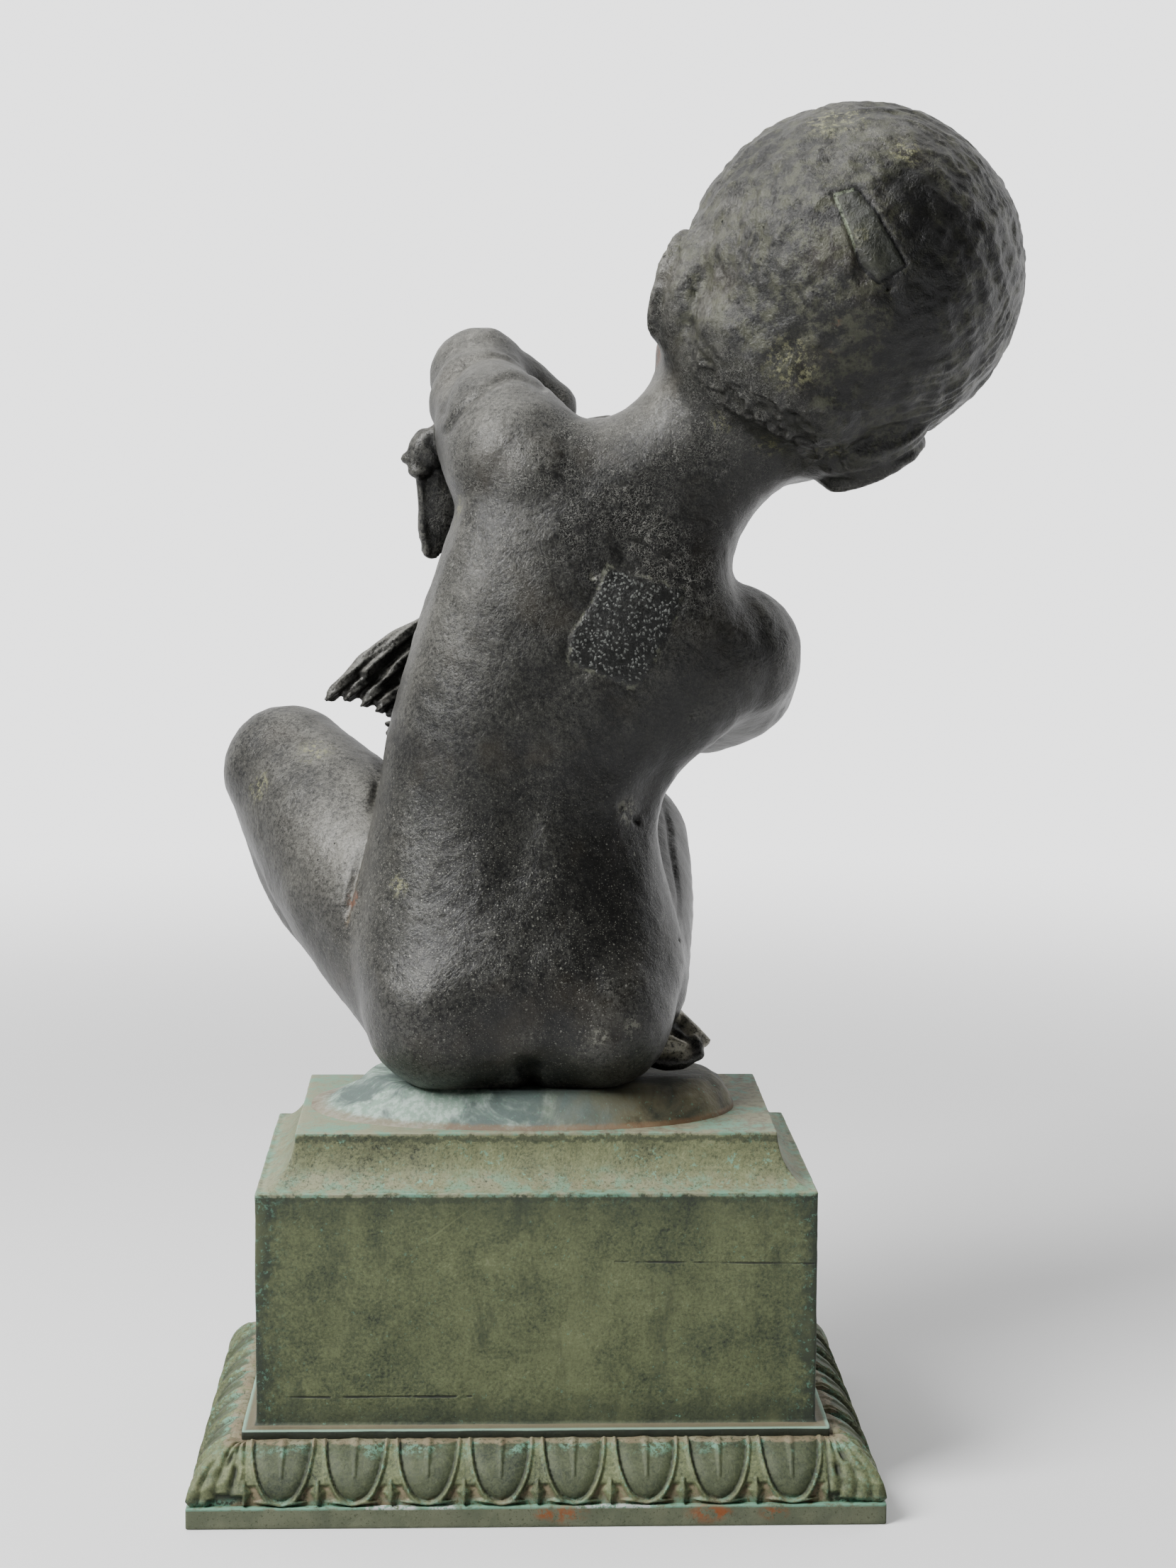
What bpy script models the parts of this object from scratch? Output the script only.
"""Cast bronze fountain group: a seated child hugging a duck, on a moulded plinth with a leaf border.

Two castings: the plinth, with the low mound on its top, and the group that sits on the mound.
Metres, +Z up. The origin is the middle of the plinth's underside, and the group faces -Y.
"""

import math

import bmesh
import bpy
import numpy as np
from mathutils import Matrix, Vector

# Plinth: heights of its courses, from the floor up
SLAB_HEIGHT = 0.0112
BORDER_HEIGHT = 0.0266
FILLET_HEIGHT = 0.0045
DIE_HEIGHT = 0.1227
SHOULDER_HEIGHT = 0.0275
MOUND_HEIGHT = 0.0175

# Plinth: plan sizes
DIE_WIDTH = 0.290
DIE_DEPTH = 0.178
SLAB_PROJECTION = 0.0335
FILLET_PROJECTION = 0.007
SHOULDER_INSET = 0.0195
BORDER_OVERLAP = 0.002
EDGE_SOFTENING = 0.0008

# Leaf border: how far each part of it stands proud
LEAVES_ON_FRONT = 8
LEAVES_ON_SIDE = 5
LEAF_RUN_BEYOND_DIE = 0.004
RIM_RELIEF = 0.0034
LEAF_RELIEF = 0.0014
RIB_RELIEF = 0.0026
DART_RELIEF = 0.0030
CORNER_RELIEF = 0.0034
BORDER_COURSES = 6

# Mound: how far its foot and its flat seat reach to the child's left, to the right, and to front and back
MOUND_FOOT = (0.121, 0.108, 0.066)
MOUND_SEAT = (0.088, 0.090, 0.050)
MOUND_SINK = 0.003
MOUND_SIDES = 36

# Group: its height over the seat, and the joint under it
GROUP_HEIGHT = 0.517
SEAT_JOINT = 0.0003
MODELLED_HEIGHT_MM = 517
VOXEL = 0.0048
GROUP_TRIANGLES = 6200

DIE_BOTTOM = SLAB_HEIGHT + BORDER_HEIGHT + FILLET_HEIGHT
DIE_TOP = DIE_BOTTOM + DIE_HEIGHT
PLINTH_TOP = DIE_TOP + SHOULDER_HEIGHT
SEAT_LEVEL = PLINTH_TOP + MOUND_HEIGHT
MM = GROUP_HEIGHT / MODELLED_HEIGHT_MM
GROUP_ORIGIN = np.array([0.0, 0.0, SEAT_LEVEL + SEAT_JOINT])


def clear_scene():
    for old in list(bpy.data.objects):
        bpy.data.objects.remove(old)


def new_collection(name):
    made = bpy.data.collections.new(name)
    bpy.context.scene.collection.children.link(made)
    return made


def bronze(name, colour, roughness, metallic):
    material = bpy.data.materials.new(name)
    material.use_nodes = True
    shader = material.node_tree.nodes["Principled BSDF"]
    shader.inputs["Base Color"].default_value = (*colour, 1.0)
    shader.inputs["Roughness"].default_value = roughness
    shader.inputs["Metallic"].default_value = metallic
    return material


def mesh_of_rings(name, rings):
    """A closed mesh: equal rings of points joined by quads, with a flat cap on the first and on the last."""
    rings = np.asarray(rings, float)
    courses, around = rings.shape[:2]
    index = np.arange(courses * around).reshape(courses, around)
    lower, upper = index[:-1], index[1:]
    quads = np.stack([lower, np.roll(lower, -1, 1), np.roll(upper, -1, 1), upper], -1).reshape(-1, 4)
    faces = quads.tolist() + [index[0][::-1].tolist(), index[-1].tolist()]
    mesh = bpy.data.meshes.new(name)
    mesh.from_pydata(rings.reshape(-1, 3).tolist(), [], faces)
    shell = bmesh.new()
    shell.from_mesh(mesh)
    bmesh.ops.recalc_face_normals(shell, faces=shell.faces)
    shell.to_mesh(mesh)
    shell.free()
    return mesh


def place(name, mesh, collection, material=None):
    made = bpy.data.objects.new(name, mesh)
    collection.objects.link(made)
    if material:
        mesh.materials.clear()
        mesh.materials.append(material)
    return made


def hide_cutter(cutter):
    cutter.hide_render = True
    cutter.display_type = "WIRE"
    return cutter


def join_with(body, other, operation):
    modifier = body.modifiers.new(other.name, "BOOLEAN")
    modifier.operation = operation
    modifier.object = other
    return modifier


# Plinth


def plinth_core():
    """Rectangular rings up the slab, the fillet, the die and the hollow shoulder."""
    border_top = SLAB_HEIGHT + BORDER_HEIGHT
    outline = [
        (SLAB_PROJECTION - EDGE_SOFTENING, 0.0),
        (SLAB_PROJECTION, EDGE_SOFTENING),
        (SLAB_PROJECTION, SLAB_HEIGHT - EDGE_SOFTENING),
        (SLAB_PROJECTION - EDGE_SOFTENING, SLAB_HEIGHT),
        (FILLET_PROJECTION - BORDER_OVERLAP, SLAB_HEIGHT),
        (FILLET_PROJECTION - BORDER_OVERLAP, border_top),
        (FILLET_PROJECTION, border_top),
        (FILLET_PROJECTION, DIE_BOTTOM),
        (0.0, DIE_BOTTOM),
    ]
    # The shoulder is a quarter ellipse, level where it leaves the die and upright at the top edge.
    for turn in np.radians(np.linspace(0, 90, 8)):
        outline.append((-SHOULDER_INSET * math.sin(turn), PLINTH_TOP - SHOULDER_HEIGHT * math.cos(turn)))
    rings = []
    for out, height in outline:
        x, y = DIE_WIDTH / 2 + out, DIE_DEPTH / 2 + out
        rings.append([(x, y, height), (-x, y, height), (-x, -y, height), (x, -y, height)])
    return mesh_of_rings("plinth", rings)


def border_profile(share):
    """How far out, how high and facing which way the border's surface is, from its top (0) to its foot (1)."""
    turn = math.radians(20 + 70 * share)
    start = math.radians(20)
    reach = (math.sin(turn) - math.sin(start)) / (1 - math.sin(start))
    drop = (math.cos(start) - math.cos(turn)) / math.cos(start)
    out = FILLET_PROJECTION + (SLAB_PROJECTION - FILLET_PROJECTION - RIM_RELIEF) * reach
    height = SLAB_HEIGHT + BORDER_HEIGHT * (1 - drop)
    return out, height, turn


def leaf_half_width(share, pitch):
    """Half the width of a round-ended leaf, which closes ever faster toward its tip."""
    return 0.45 * pitch * math.sqrt(1 - min(1.0, share / 0.97) ** 2.2)


def leaf_columns(share, pitch):
    """Offsets from a leaf's middle and their relief, with the dart between it and the leaf before."""
    half = leaf_half_width(share, pitch)
    open_share = min(1.0, half / (0.10 * pitch))
    dart = DART_RELIEF * (0.25 + 0.75 * math.exp(-(((share - 0.86) / 0.10) ** 2)))
    rib = RIB_RELIEF if share < 0.72 else LEAF_RELIEF
    return [
        (-0.5 * pitch, dart),
        (-half - 0.03 * pitch, 0.0),
        (-half + 0.02 * pitch * open_share, RIM_RELIEF * open_share),
        (-0.80 * half, LEAF_RELIEF * open_share),
        (0.0, rib * open_share),
        (0.80 * half, LEAF_RELIEF * open_share),
        (half - 0.02 * pitch * open_share, RIM_RELIEF * open_share),
        (half + 0.03 * pitch, 0.0),
    ]


def border_side(length, leaves, share, out):
    """Distances along one side from the die's corner, and the relief there: corner leaf, leaves, corner leaf."""
    beyond = LEAF_RUN_BEYOND_DIE * min(1.0, out / (2 * LEAF_RUN_BEYOND_DIE))
    pitch = (length + 2 * beyond) / leaves
    corner = [(0.0, 1.0), (0.30, -0.1), (0.62, 0.8)]
    ripple = CORNER_RELIEF * math.sin(math.pi * min(1.0, share + 0.15))
    room = out - beyond
    columns = [(-beyond - room * (1 - far), ripple * lift) for far, lift in corner]
    for leaf in range(leaves):
        middle = (leaf + 0.5) * pitch - beyond
        columns += [(middle + offset, lift) for offset, lift in leaf_columns(share, pitch)]
    columns.append((length + beyond, DART_RELIEF * 0.25))
    columns += [(length + beyond + room * (1 - far), ripple * lift) for far, lift in reversed(corner[1:])]
    return columns


def border_ring(share):
    """One course of the border: the four sides run anticlockwise, each from its own mitre."""
    out, height, turn = border_profile(share)
    half_x, half_y = DIE_WIDTH / 2, DIE_DEPTH / 2
    sides = [
        ((half_x, -half_y), (0, 1), (1, 0), DIE_DEPTH, LEAVES_ON_SIDE),
        ((half_x, half_y), (-1, 0), (0, 1), DIE_WIDTH, LEAVES_ON_FRONT),
        ((-half_x, half_y), (0, -1), (-1, 0), DIE_DEPTH, LEAVES_ON_SIDE),
        ((-half_x, -half_y), (1, 0), (0, -1), DIE_WIDTH, LEAVES_ON_FRONT),
    ]
    points = []
    for start, along, outward, length, leaves in sides:
        for number, (distance, lift) in enumerate(border_side(length, leaves, share, out)):
            reach = out + lift * math.sin(turn)
            run = -reach if number == 0 else distance
            x = start[0] + along[0] * run + outward[0] * reach
            y = start[1] + along[1] * run + outward[1] * reach
            points.append((x, y, height + lift * math.cos(turn)))
    return points


def leaf_border():
    """The border's courses, with one more at each end sunk into the fillet and the slab."""
    rings = [border_ring(course / (BORDER_COURSES - 1)) for course in range(BORDER_COURSES)]
    rings = np.array(rings)
    top, foot = rings[0].copy(), rings[-1].copy()
    top[:, 2] = SLAB_HEIGHT + BORDER_HEIGHT + FILLET_HEIGHT / 2
    top[:, :2] *= (DIE_WIDTH / 2) / (DIE_WIDTH / 2 + FILLET_PROJECTION)
    rings[0][:, 2] = np.minimum(rings[0][:, 2], SLAB_HEIGHT + BORDER_HEIGHT)
    foot[:, 2] = SLAB_HEIGHT / 2
    return mesh_of_rings("leaf_border", [foot, *rings[::-1], top])


def mound():
    """A low oval rise with a flat seat: it flares out at the child's left and is round-shouldered at the right."""
    angles = np.radians(np.arange(MOUND_SIDES) * 360 / MOUND_SIDES)
    right = (1 - np.cos(angles)) / 2
    oval_x = np.sign(np.cos(angles)) * np.abs(np.cos(angles)) ** 0.85
    oval_y = np.sign(np.sin(angles)) * np.abs(np.sin(angles)) ** 0.85
    foot_x = np.where(oval_x > 0, MOUND_FOOT[0], MOUND_FOOT[1])
    seat_x = np.where(oval_x > 0, MOUND_SEAT[0], MOUND_SEAT[1])
    courses = [
        # rise, spread at the flared side, spread at the round side
        (-MOUND_SINK / MOUND_HEIGHT, 1, 1),
        (0, 1, 1),
        (0.14, 0.70, 0.98),
        (0.38, 0.44, 0.88),
        (0.68, 0.22, 0.66),
        (0.91, 0.08, 0.34),
        (1, 0, 0),
    ]
    rings = []
    for rise, flared, rounded in courses:
        spread = flared * (1 - right) + rounded * right
        half_x = seat_x + (foot_x - seat_x) * spread
        half_y = MOUND_SEAT[2] + (MOUND_FOOT[2] - MOUND_SEAT[2]) * spread
        height = np.full(len(angles), PLINTH_TOP + MOUND_HEIGHT * rise)
        rings.append(np.stack([half_x * oval_x, half_y * oval_y, height], 1))
    return mesh_of_rings("mound", rings)


def build_plinth(collection, cutters, material):
    plinth = place("plinth", plinth_core(), collection, material)
    for other in (place("leaf_border", leaf_border(), cutters), place("mound", mound(), cutters)):
        join_with(plinth, hide_cutter(other), "UNION")
    return plinth


# Group: every form is placed in millimetres from the middle of the seat, then scaled


def smooth_path(points, steps):
    """A Catmull-Rom curve through rows of numbers: places, radii and turns are all carried along it."""
    points = np.asarray(points, float)
    ends = np.vstack([2 * points[0] - points[1], points, 2 * points[-1] - points[-2]])
    share = np.linspace(0, 1, steps, endpoint=False)[:, None]
    spans = []
    for a, b, c, d in zip(ends[:-3], ends[1:-2], ends[2:-1], ends[3:], strict=True):
        spans.append(
            0.5 * (2 * b + (c - a) * share + (2 * a - 5 * b + 4 * c - d) * share**2 + (3 * b - a - 3 * c + d) * share**3)
        )
    return np.vstack([*spans, points[-1:]])


def limb(stations, sides=20, steps=6, flat=1.0, broad=(1, 0, 0), square=False):
    """A tube through stations of x, y, z and radius, with round or square ends; flat thins it across the broad way."""
    path = smooth_path(stations, steps)
    centre, radius = path[:, :3], path[:, 3]
    heading = np.gradient(centre, axis=0)
    heading /= np.linalg.norm(heading, axis=1)[:, None]
    side = np.asarray(broad, float) - heading * (heading @ np.asarray(broad, float))[:, None]
    side /= np.linalg.norm(side, axis=1)[:, None]
    across = np.cross(heading, side)
    cap = [] if square else np.radians([10, 35, 65])
    rows = [(centre[0] - heading[0] * radius[0] * math.cos(a), radius[0] * math.sin(a), 0) for a in cap]
    rows += [(centre[i], radius[i], i) for i in range(len(path))]
    rows += [(centre[-1] + heading[-1] * radius[-1] * math.cos(a), radius[-1] * math.sin(a), -1) for a in cap[::-1]]
    angle = np.linspace(0, 2 * np.pi, sides, endpoint=False)[:, None]
    return [c + r * (np.cos(angle) * side[i] + flat * np.sin(angle) * across[i]) for c, r, i in rows]


def torso(stations, sides=32, steps=5, fullness=0.86):
    """Rounded sections up the spine: x, y, z of the middle, half width, half depth, sideways tilt in degrees."""
    path = smooth_path(stations, steps)
    angle = np.linspace(0, 2 * np.pi, sides, endpoint=False)[:, None]
    wide = np.sign(np.cos(angle)) * np.abs(np.cos(angle)) ** fullness
    deep = np.sign(np.sin(angle)) * np.abs(np.sin(angle)) ** fullness
    rings = []
    for x, y, z, half_width, half_depth, tilt in path:
        turn = math.radians(tilt)
        across = np.array([math.cos(turn), 0, math.sin(turn)])
        rings.append(np.array([x, y, z]) + half_width * wide * across - half_depth * deep * np.array([0, 1, 0]))
    return rings


def ball(centre, radii, axes=None, rows=14, sides=20):
    """Rings of an ellipsoid, turned to the given axes."""
    axes = np.eye(3) if axes is None else np.asarray(axes, float)
    polar = np.radians(np.linspace(4, 176, rows))
    angle = np.linspace(0, 2 * np.pi, sides, endpoint=False)
    rings = []
    for p in polar:
        local = np.stack([math.sin(p) * np.cos(angle), math.sin(p) * np.sin(angle), np.full(sides, -math.cos(p))], 1)
        rings.append(np.asarray(centre) + (local * radii) @ axes)
    return rings


HEAD_CENTRE = np.array([-167.0, -12.0, 426.0])
HEAD_UP = np.array([-0.64, -0.12, 0.76]) / np.linalg.norm([-0.64, -0.12, 0.76])
HEAD_LEFT = np.array([0.765, 0.0, 0.644])
HEAD_FRONT = np.cross(HEAD_LEFT, HEAD_UP)
HEAD_AXES = np.stack([HEAD_LEFT, -HEAD_FRONT, HEAD_UP])


def on_head(left, front, up):
    """A place on the head, in millimetres to its left, to its front and up from the middle of the skull."""
    return HEAD_CENTRE + left * HEAD_LEFT + front * HEAD_FRONT + up * HEAD_UP


def trunk_forms():
    """Trunk and neck in one loft, with skull, jaw and buttocks."""
    spine = [
        (8, -6, -12, 60, 42, 0),
        (9, 2, 20, 78, 59, 0),
        (9, 5, 56, 90, 69, 0),
        (10, 0, 88, 86, 62, 1),
        (12, -4, 120, 80, 55, 1),
        (9, -7, 149, 76, 52, 4),
        (2, -9, 173, 79, 53, 9),
        (-16, -10, 201, 89, 54, 11),
        (-33, -12, 228, 97, 54, 14),
        (-43, -13, 256, 97, 51, 18),
        (-44, -14, 282, 87, 46, 26),
        (-58, -15, 303, 63, 43, 40),
        (-77, -16, 320, 47, 42, 50),
        (-92, -16, 340, 45, 42, 49),
        (-112, -16, 360, 49, 45, 47),
    ]
    return [
        torso(spine),
        ball(HEAD_CENTRE, (90, 98, 93), HEAD_AXES),
        ball(on_head(0, 38, -42), (61, 54, 60), HEAD_AXES),
        ball(on_head(40, 30, -78), (20, 26, 24), HEAD_AXES, 10, 14),
        ball(on_head(-40, 30, -78), (20, 26, 24), HEAD_AXES, 10, 14),
        ball(on_head(44, -4, -68), (28, 30, 30), HEAD_AXES, 10, 14),
        ball(on_head(-44, -4, -68), (28, 30, 30), HEAD_AXES, 10, 14),
        ball(on_head(0, -42, -72), (54, 28, 26), HEAD_AXES, 10, 14),
        ball((47, 26, 41), (47, 50, 47)),
        ball((-34, 26, 41), (45, 50, 47)),
    ]


def limb_forms():
    """Thighs, shins, feet and arms. The raised arm swells and narrows with a child's folds."""
    return [
        limb([(42, -6, 50, 58), (94, -64, 101, 54), (140, -122, 149, 39)]),
        limb([(140, -122, 149, 38), (115, -92, 84, 33), (64, -44, 24, 21)]),
        limb([(-34, -6, 50, 56), (-45, -70, 82, 47), (-54, -128, 108, 38)]),
        limb([(-54, -128, 108, 37), (-42, -92, 64, 30), (-32, -46, 24, 20)]),
        limb([(56, -34, 16, 17), (63, -62, 15, 18), (72, -92, 9, 14)], flat=0.75),
        limb([(-32, -34, 16, 17), (-38, -62, 15, 18), (-46, -94, 9, 14)], flat=0.75),
        limb(
            [
                (10, -20, 326, 40),
                (20, -50, 345, 36),
                (26, -76, 357, 30),
                (28, -90, 362, 32),
                (29, -100, 367, 27),
                (31, -118, 375, 29),
            ]
        ),
        limb([(31, -120, 376, 26), (6, -128, 365, 22), (-9, -126, 358, 17)]),
        limb([(-106, -18, 226, 38), (-112, -66, 206, 33), (-98, -112, 188, 28)]),
        limb([(-98, -112, 188, 27), (-62, -150, 190, 23), (-30, -168, 198, 17)]),
    ]


FACE_FORMS = (
    # sideways place, height, sideways spread, upright spread, height of the form
    (0, -52, 8, 8, 15),
    (0, -36, 6, 14, 6),
    (9, -56, 4.5, 4.5, 6),
    (26, -28, 14, 9, -9),
    (27, -30, 9, 5, 6),
    (25, -14, 17, 5, 3),
    (0, -68, 13, 3, 5),
    (0, -77, 11, 3.4, 5.5),
    (0, -72.3, 15, 1.7, -4),
    (17, -72, 4, 4, -3),
    (0, -84, 10, 3, -3),
    (0, -94, 12, 9, 9),
    (36, -57, 17, 16, 8),
    (0, 14, 40, 22, 4),
)


def face_relief(left, up):
    """How far the face stands out of the jaw and skull: bell-shaped forms, the same on both sides."""
    height = np.zeros_like(left)
    for side, middle, wide, tall, lift in FACE_FORMS:
        for sign in (-1, 1) if side else (1,):
            height += lift * np.exp(-(((left - sign * side) / wide) ** 2) / 2 - ((up - middle) / tall) ** 2 / 2)
    return height


def shape_face(points):
    """Moves the points on the front of the head, in millimetres, out along the way the face looks."""
    local = (points - HEAD_CENTRE) @ np.stack([HEAD_LEFT, HEAD_FRONT, HEAD_UP]).T
    near = (np.linalg.norm(local, axis=1) < 118) & (local[:, 1] > 10)
    fade = np.clip((local[:, 1] - 10) / 30, 0, 1)
    return points + (near * fade * face_relief(local[:, 0], local[:, 2]))[:, None] * HEAD_FRONT


FURROWS = (
    # along the path: x and height; then width, depth and how far forward the furrow fades out
    (((3, -20), (3, 2), (4, 13)), 7, 9, 20),
    (((10, 118), (6, 160), (-12, 210), (-36, 268), (-60, 303)), 13, 2.5, 10),
)


def press_furrows(points):
    """Presses the cleft and the spine's shallow furrow into the back, in millimetres, along -Y's opposite."""
    moved = points.copy()
    for path, width, depth, fade_from in FURROWS:
        line = smooth_path(path, 12)
        gap = np.linalg.norm(points[:, None, [0, 2]] - line[None], axis=2).min(1)
        behind = np.clip((points[:, 1] - fade_from) / 15, 0, 1)
        moved[:, 1] -= depth * behind * np.exp(-((gap / width) ** 2))
    return moved


def ear_forms():
    """Each ear leans out at its top, and its back edge stands clear of the skull."""
    forms = []
    for side in (-1, 1):
        rise = 0.39 * side * HEAD_LEFT + 0.92 * HEAD_UP
        outward = 0.92 * side * HEAD_LEFT - 0.39 * HEAD_UP
        back = -0.9 * HEAD_FRONT + 0.43 * outward
        back /= np.linalg.norm(back)
        axes = np.stack([np.cross(back, rise), back, rise])
        forms.append(ball(on_head(side * 72, -6, -66), (7, 17, 30), axes, 10, 14))
    return forms


def hair_forms():
    """Shallow locks over the front and the sides of the skull, and short curls along the nape."""
    forms = []
    for number in range(11):
        around = math.radians(-40 + 26 * number)
        lock = []
        for share in (0.0, 0.33, 0.66, 1.0):
            turn = around + 0.5 * share
            fall = math.radians(30 + 48 * share)
            left = 87 * math.sin(fall) * math.cos(turn)
            front = 95 * math.sin(fall) * math.sin(turn)
            lock.append((*on_head(left, front, 90 * math.cos(fall)), 5.8 - share))
        forms.append(limb(lock, sides=8, steps=3))
    for number in range(6):
        left = -50 + 20 * number
        forms.append(ball(on_head(left, -60 + abs(left) * 0.3, -66 + 4 * (number % 2)), (10, 7, 8), HEAD_AXES, 6, 8))
    return forms


def hand_and_foot_forms():
    """Palms, four fingers and a thumb to each hand, five toes to each foot."""
    forms = [
        ball((-34, -124, 339), (18, 14, 12), rows=8, sides=12),
        ball((-12, -172, 202), (19, 13, 15), rows=8, sides=12),
        limb([(-30, -134, 346, 6), (-44, -148, 350, 5)], 8, 3),
        limb([(-14, -176, 212, 7), (0, -182, 224, 6)], 8, 3),
    ]
    for finger in range(4):
        drop = 8 * finger
        forms.append(limb([(-42, -132, 346 - drop, 6), (-58, -146, 340 - drop, 5)], 8, 3))
        forms.append(limb([(2, -178, 212 - drop, 6.5), (26, -172, 212 - drop * 1.1, 5.5)], 8, 3))
        forms.append(limb([(66 + drop, -98, 7, 6.5), (69 + drop * 1.05, -110, 6, 6)], 8, 3))
        forms.append(limb([(-57 + drop, -100, 7, 6.5), (-61 + drop * 1.05, -112, 6, 6)], 8, 3))
    forms.append(limb([(58, -96, 9, 9), (59, -112, 8, 8)], 8, 3))
    forms.append(limb([(-31, -98, 9, 9), (-32, -114, 8, 8)], 8, 3))
    return forms


def duck_forms():
    """The duck held upright against the chest: body, neck, head, bill, tail, wings, and the foot that kicks up."""
    forms = [
        ball((10, -112, 196), (50, 46, 68)),
        ball((6, -122, 232), (42, 40, 44)),
        limb([(0, -136, 246, 32), (-20, -154, 280, 22), (-44, -162, 306, 17), (-60, -160, 326, 15)], 16),
        ball((-63, -160, 336), (20, 20, 17), rows=12, sides=16),
        limb([(-74, -170, 340, 10), (-88, -178, 348, 8), (-100, -184, 356, 8)], 12, 4, flat=0.45, broad=(0.5, -1, 0)),
        limb([(16, -122, 150, 28), (50, -110, 166, 19), (74, -97, 178, 10)], 14, 4, flat=0.6),
        limb([(40, -96, 240, 13), (37, -86, 296, 9), (45, -76, 338, 8)], 10, 4),
        limb([(45, -74, 338, 8.5), (55, -69, 335, 9), (58, -68, 326, 9)], 12, 4),
        ball((60, -66, 333), (11, 8, 12), rows=8, sides=12),
        limb([(61, -68, 331, 6), (70, -68, 329.5, 3)], 10, 3),
        limb([(53, -69, 326, 11), (53, -69, 302, 10), (54, -70, 284, 6)], 12, 4, flat=0.45),
        limb([(57, -65, 320, 4), (57, -65, 296, 3.5), (57.5, -66, 274, 2.5)], 8, 4),
        limb([(62, -67, 304, 3), (61.5, -67, 290, 3.5), (60, -67, 280, 3)], 8, 4),
        ball((-36, -136, 214), (12, 30, 52), rows=10, sides=14),
    ]
    for feather in range(5):
        tip = (113 - 10.5 * feather, -60 - 3 * feather, 199.5 - 1.4 * feather)
        root = (40 - 3 * feather, -100 - 4 * feather, 240 - 7 * feather)
        middle = [(a + b) / 2 + lift for a, b, lift in zip(root, tip, (0, 0, 7 - feather), strict=True)]
        forms.append(limb([(*root, 9.5), (*middle, 8), (*tip, 4.5)], 10, 5, flat=0.75, broad=(0, 1, 0)))
    return forms


def stalk_forms():
    """Cut stalks and a blunt leaf that come out from under the right thigh and lie toward the mound."""
    return [
        limb([(-62, -14, 43, 4.1), (-92, 2, 14, 4.1)], 10, 2, square=True),
        limb([(-56, -8, 38, 2.6), (-85, 6, 14, 2.6)], 8, 2, square=True),
        limb([(-44, -4, 34, 9), (-78, 8, 14, 7)], 10, 2, 0.4, (0, 1, 0.3), square=True),
        limb([(-44, 0, 16, 10), (-66, 7, 9, 9), (-80, 8, 9.5, 7)], 10, 3, 0.7, (0, 1, 0)),
    ]


def merged(name, forms):
    """All the forms as one mesh of closed, overlapping shells, placed on the seat at full size."""
    shells = bmesh.new()
    for form in forms:
        shells.from_mesh(mesh_of_rings(name, form))
    mesh = bpy.data.meshes.new(name)
    shells.to_mesh(mesh)
    shells.free()
    mesh.transform(Matrix.Translation(Vector(GROUP_ORIGIN)) @ Matrix.Scale(MM, 4))
    return mesh


def with_forms(skin, name, forms, voxel, passes):
    """The skin so far and more forms as one new skin, its joins softened by so many passes."""
    shells = bmesh.new()
    if skin:
        shells.from_mesh(skin)
    shells.from_mesh(merged(name, forms))
    mesh = bpy.data.meshes.new(name)
    shells.to_mesh(mesh)
    shells.free()
    body = place(name, mesh, bpy.context.scene.collection)
    remesh = body.modifiers.new("one skin", "REMESH")
    remesh.mode = "VOXEL"
    remesh.voxel_size = voxel
    smooth = body.modifiers.new("soft joins", "SMOOTH")
    smooth.factor = 0.5
    smooth.iterations = passes
    graph = bpy.context.evaluated_depsgraph_get()
    graph.update()
    skin = bpy.data.meshes.new_from_object(body.evaluated_get(graph))
    bpy.data.objects.remove(body)
    return skin


def seat_cutter(collection):
    """A slab whose top is the seat joint: it takes off everything below."""
    mesh = bpy.data.meshes.new("seat_cutter")
    slab = bmesh.new()
    bmesh.ops.create_cube(slab, size=1.0)
    slab.to_mesh(mesh)
    slab.free()
    depth = 0.1
    mesh.transform(Matrix.Translation((0, 0, GROUP_ORIGIN[2] - depth / 2)) @ Matrix.Diagonal((1, 1, depth, 1)))
    return hide_cutter(place("seat_cutter", mesh, collection))


def build_group(collection, cutters, material):
    """From the softest forms to the crispest, each stage smoothed less; then the face, fewer faces and a flat seat."""
    skin = with_forms(None, "trunk", trunk_forms(), VOXEL, 18)
    skin = with_forms(skin, "limbs", limb_forms(), VOXEL, 4)
    crisp = ear_forms() + hair_forms() + hand_and_foot_forms() + duck_forms() + stalk_forms()
    skin = with_forms(skin, "seated_child_with_duck", crisp, VOXEL / 2, 2)
    points = np.empty(len(skin.vertices) * 3)
    skin.vertices.foreach_get("co", points)
    points = (points.reshape(-1, 3) - GROUP_ORIGIN) / MM
    points = press_furrows(shape_face(points)) * MM + GROUP_ORIGIN
    skin.vertices.foreach_set("co", points.ravel())
    skin.calc_loop_triangles()
    group = place("seated_child_with_duck", skin, collection, material)
    thin = group.modifiers.new("fewer faces", "DECIMATE")
    thin.ratio = GROUP_TRIANGLES / len(skin.loop_triangles)
    join_with(group, seat_cutter(cutters), "DIFFERENCE")
    return group


def main():
    clear_scene()
    collection = new_collection("fountain_statue")
    cutters = new_collection("cutters")
    green = bronze("green_bronze", (0.17, 0.21, 0.15), 0.75, 0.25)
    black = bronze("black_bronze", (0.10, 0.10, 0.095), 0.55, 0.45)
    build_plinth(collection, cutters, green)
    build_group(collection, cutters, black)


main()
